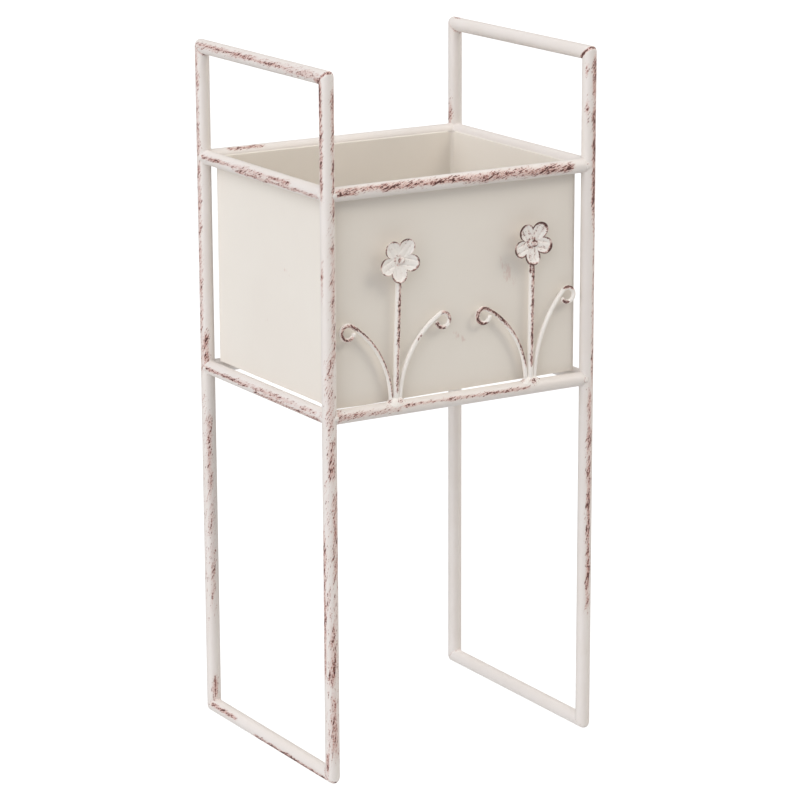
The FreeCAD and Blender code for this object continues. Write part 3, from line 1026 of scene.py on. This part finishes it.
def flower_head(middle, wear, seed):
    """A pressed flower head whose back touches the stem at a middle point.

    It stands forward by a dish that grows with the radius squared, plus the raised edge, less the grooves,
    which are narrow waves across each petal.
    """
    turn = full_turn(HEAD_COLUMNS)
    edge, off = petal_edge(turn)
    back_rings = np.linspace(0.06, 0.97, HEAD_BACK_RINGS)
    front_rings = 1.0 - 0.97 * np.linspace(0.02, 0.97, HEAD_FRONT_RINGS) ** 1.4
    share = np.concatenate([back_rings, [1.0, 1.0], front_rings])[:, None]
    front = np.concatenate([0 * back_rings, [0.0, 1.0], 1 + 0 * front_rings])[:, None]
    radius = share * edge
    across = radius * np.sin(off)
    dish = HEAD_DISH * (radius / edge.max()) ** 2
    from_edge = (1.0 - share) * edge
    raised = EDGE_RAISED * bell(from_edge / EDGE_WIDE)
    along_petal = np.clip((share - 0.22) / 0.25, 0.0, 1.0) * np.clip((0.97 - share) / 0.2, 0.0, 1.0)
    groove = GROOVE_DEEP * (0.5 - 0.5 * np.cos(2 * np.pi * across / GROOVE_APART)) ** 3 * along_petal
    forward = dish + raised - groove + front * PETAL_SHEET
    flat = np.stack([radius * np.cos(turn), 0 * radius, radius * np.sin(turn)], axis=-1)
    grid = middle + flat - forward[..., None] * BACK
    uneven = 0.6 + 0.4 * np.sin(3 * turn + seed) * np.sin(7 * turn + 2 * seed)
    edge_rub = wear.rim * uneven * bell(from_edge / wear.rim_wide)
    vein_rub = 0.08 * wear.rim * (1.0 + groove / GROOVE_DEEP)
    hub_rub = 0.5 * wear.rim * uneven * bell((radius - HUB_RADIUS) / HUB_WIDE)
    brush = np.stack([flat[..., 0], flat[..., 2], 0 * radius + seed * 9 * MM], axis=-1) / STROKE_WIDTH
    return closed_skin(grid, np.maximum(np.maximum(edge_rub, vein_rub), hub_rub), brush)


flower_wear = {"left_flower": Wear(1.6, 1.15 * MM, 0.62), "right_flower": Wear(2.8, 1.6 * MM, 1.1)}
for seed, (flower, wear) in enumerate(flower_wear.items()):
    low, high = corners(flower + "_head")
    rivet_low, rivet_high = corners(flower + "_rivet")
    middle = np.array([(low[0] + high[0]) / 2, high[1], (rivet_low[2] + rivet_high[2]) / 2])
    skin = flower_head(middle + HEAD_SHIFT, wear, seed + 1)
    make_piece(flower + "_head", [skin], "flower_paint")

# %% [markdown]
# The rivet is a small dome on the flower, with a shank through it. Its profile, up the shank, out under the
# dome and over it, is turned round its axis.

# %% Rivets
RIVET_HEIGHT = 1.8 * MM
SHANK_RADIUS = 1.1 * MM
RIVET_POINTS = 40
DOME_RINGS = 12
WORN_WIDE = 0.7 * MM


def rivet(low, high, worn, seed):
    """A domed rivet: rings of radius r cos t and height h sin t over its seat, with a shank behind."""
    middle = (low + high) / 2
    dome_radius = (high[0] - low[0]) / 2
    seat = low[1] + RIVET_HEIGHT
    lean = np.linspace(0.0, 1.5, DOME_RINGS)
    radius = np.concatenate([[SHANK_RADIUS, SHANK_RADIUS], dome_radius * np.cos(lean)])[:, None]
    back = np.concatenate([[high[1], seat], seat - RIVET_HEIGHT * np.sin(lean)])[:, None]
    turn = full_turn(RIVET_POINTS)[None, :]
    dent = 1.0 + 0.04 * np.sin(2 * turn + seed) + 0.03 * np.sin(5 * turn + 3 * seed)
    right = middle[0] + radius * dent * np.cos(turn)
    up = middle[2] + radius * dent * np.sin(turn)
    grid = np.stack([right, back + 0 * turn, up], axis=-1)
    ring = bell((radius - dome_radius * 0.9) / WORN_WIDE)
    rub = worn * (0.55 + ring * (0.6 + 0.5 * np.sin(2 * turn + 2.2 * seed)))
    return closed_skin(grid, rub, grid / STROKE_WIDTH)


for seed, (flower, wear) in enumerate(flower_wear.items()):
    low, high = corners(flower + "_rivet")
    make_piece(flower + "_rivet", [rivet(low, high, wear.rivet, seed + 1)], "flower_paint")

# %% [markdown]
# The three wires of a flower stand on the rail in one drop of weld. It is an oval mound that follows the
# rail's round top and sinks into it at the edge, with a higher spot at each wire.

# %% Weld at the feet of the flowers
MOUND_HALF_LONG = 8.4 * MM
MOUND_HALF_WIDE = 4.3 * MM
MOUND_HEIGHT = 3.8 * MM
LEAF_STEP = 3.6 * MM
WIRE_WIDE = 1.9 * MM
MOUND_POINTS = 72
MOUND_RINGS = 22
MOUND_SUNK = 0.25 * MM
RIM_SUNK = 1.5 * MM


def foot_weld(foot, seed):
    """Rings of an oval on top of the rail, each raised by 1 - s^2, where s is its share of the oval."""
    turn = full_turn(MOUND_POINTS)[None, :]
    share = np.concatenate([[0.97], np.linspace(1.0, 0.04, MOUND_RINGS)])[:, None]
    wobble = 1.0 + 0.06 * np.sin(5 * turn + seed) + 0.04 * np.sin(9 * turn + 2 * seed)
    x = MOUND_HALF_LONG * share * wobble * np.cos(turn)
    y = MOUND_HALF_WIDE * share * wobble * np.sin(turn)
    rail_top = np.sqrt(rod_radius ** 2 - y ** 2) - rod_radius
    wires = sum(bell((x - step) / WIRE_WIDE) for step in (-LEAF_STEP, 0.0, LEAF_STEP))
    mound = MOUND_HEIGHT * (1.0 - share ** 2) * (0.55 + 0.45 * wires) - MOUND_SUNK
    buried = (np.arange(len(share)) == 0)[:, None] * RIM_SUNK
    grid = foot + np.stack([x, y, rail_top + mound - buried], axis=-1)
    rub = 0.72 * bell((share - 0.75) / 0.3) * (0.65 + 0.35 * np.sin(4 * turn + seed))
    return closed_skin(grid, rub, grid / STROKE_WIDTH)


mounds = []
for flower in flower_wear:
    foot = stem_path(flower + "_stem")[0] * np.array([1.0, 1.0, 0.0])
    foot = foot + UP * (rail_height["lower"] + rod_radius)
    mounds.append(foot_weld(foot, len(mounds)))
make_piece("flower_welds", mounds, "flower_paint")

# %% [markdown]
# The photograph is cut out on white. The floor is a wide pale sheet that glows white to the camera, with a
# soft mottle so that it is a surface and not a flat colour. It is left out of the light on the stand: what a
# floor sends up comes from a light of its own, below.

# %% Floor
FLOOR_HALF = 14.0
floor_corners = np.array([[-1, -1, 0], [1, -1, 0], [1, 1, 0], [-1, 1, 0]]) * FLOOR_HALF
floor_mesh = bpy.data.meshes.new("floor")
floor_mesh.from_pydata(floor_corners.tolist(), [], [[0, 1, 2, 3]])
floor_paint, start = new_paint("floor_paint")
mottle = start.node("TexCoord", None, None, "Object").noise(3.0, 2.0)
floor_colour = mottle.over((0.12, 0.12, 0.12, 1.0), (0.13, 0.13, 0.13, 1.0))
floor_glow = mottle.over((0.97, 0.97, 0.97, 1.0), (1.0, 1.0, 1.0, 1.0))
floor_looks = {
    "Base Color": floor_colour, "Roughness": 0.9, "Specular IOR Level": 0.1,
    "Emission Color": floor_glow, "Emission Strength": 1.0,
}
start.node("OutputMaterial", None, {"Surface": start.node("BsdfPrincipled", None, floor_looks)})
floor_mesh.materials.append(floor_paint)
floor = new_object("floor", floor_mesh)
floor.visible_diffuse = False
floor.visible_glossy = False
floor.visible_shadow = False
floor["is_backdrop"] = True
print("floor", FLOOR_HALF * 2, "m wide")

# %% [markdown]
# The light is soft: wide suns overhead and on the left, a weak one on the right, a smaller one in front that
# gives the wires their soft shadows, and one from below, in a dim white room. An area light would be weaker
# at the feet than at the handles, and a sun lights every place the same.
# A sun of strength pi lights a white sheet square to it to full white.

# %% Lights
def soft_sun(name, azimuth, elevation, wide, share, tint):
    """A wide sun from an azimuth and elevation, as a share of full white."""
    data = bpy.data.lights.new(name, "SUN")
    data.energy = share * math.pi
    data.angle = math.radians(wide)
    data.color = tint
    sun = new_object(name, data)
    sun.rotation_euler = seen_from(azimuth, elevation).to_track_quat("Z", "Y").to_euler()
    print(name, "from", azimuth, "degrees round and", elevation, "up")


soft_sun("overhead_light", 0.0, 85.0, 110.0, 0.39, (1.0, 1.0, 1.0))
soft_sun("left_light", -80.0, 21.0, 80.0, 0.66, (0.985, 1.0, 1.035))
soft_sun("right_light", 75.0, 20.0, 70.0, 0.28, (1.02, 1.0, 0.96))
soft_sun("front_light", 34.0, 42.0, 24.0, 0.165, (1.07, 1.0, 0.88))
soft_sun("floor_light", 0.0, -85.0, 120.0, 0.42, (1.0, 1.0, 1.0))

world = bpy.data.worlds.new("room")
world.use_nodes = True
world.node_tree.nodes.clear()
room = Socket(world.node_tree)
room_light = room.node("Background", None, {"Color": (1.0, 1.0, 1.0, 1.0), "Strength": 0.25})
room.node("OutputWorld", None, {"Surface": room_light})
scene.world = world
scene.view_settings.view_transform = "Standard"

# %% [markdown]
# Last, the visual model's box is set beside the CAD model's box.

# %% Sizes and finish
visual_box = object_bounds()
for name, box in (("CAD", cad_box), ("visual", visual_box)):
    print(name, "size in mm:", [round(value / MM, 1) for value in box[1] - box[0]])
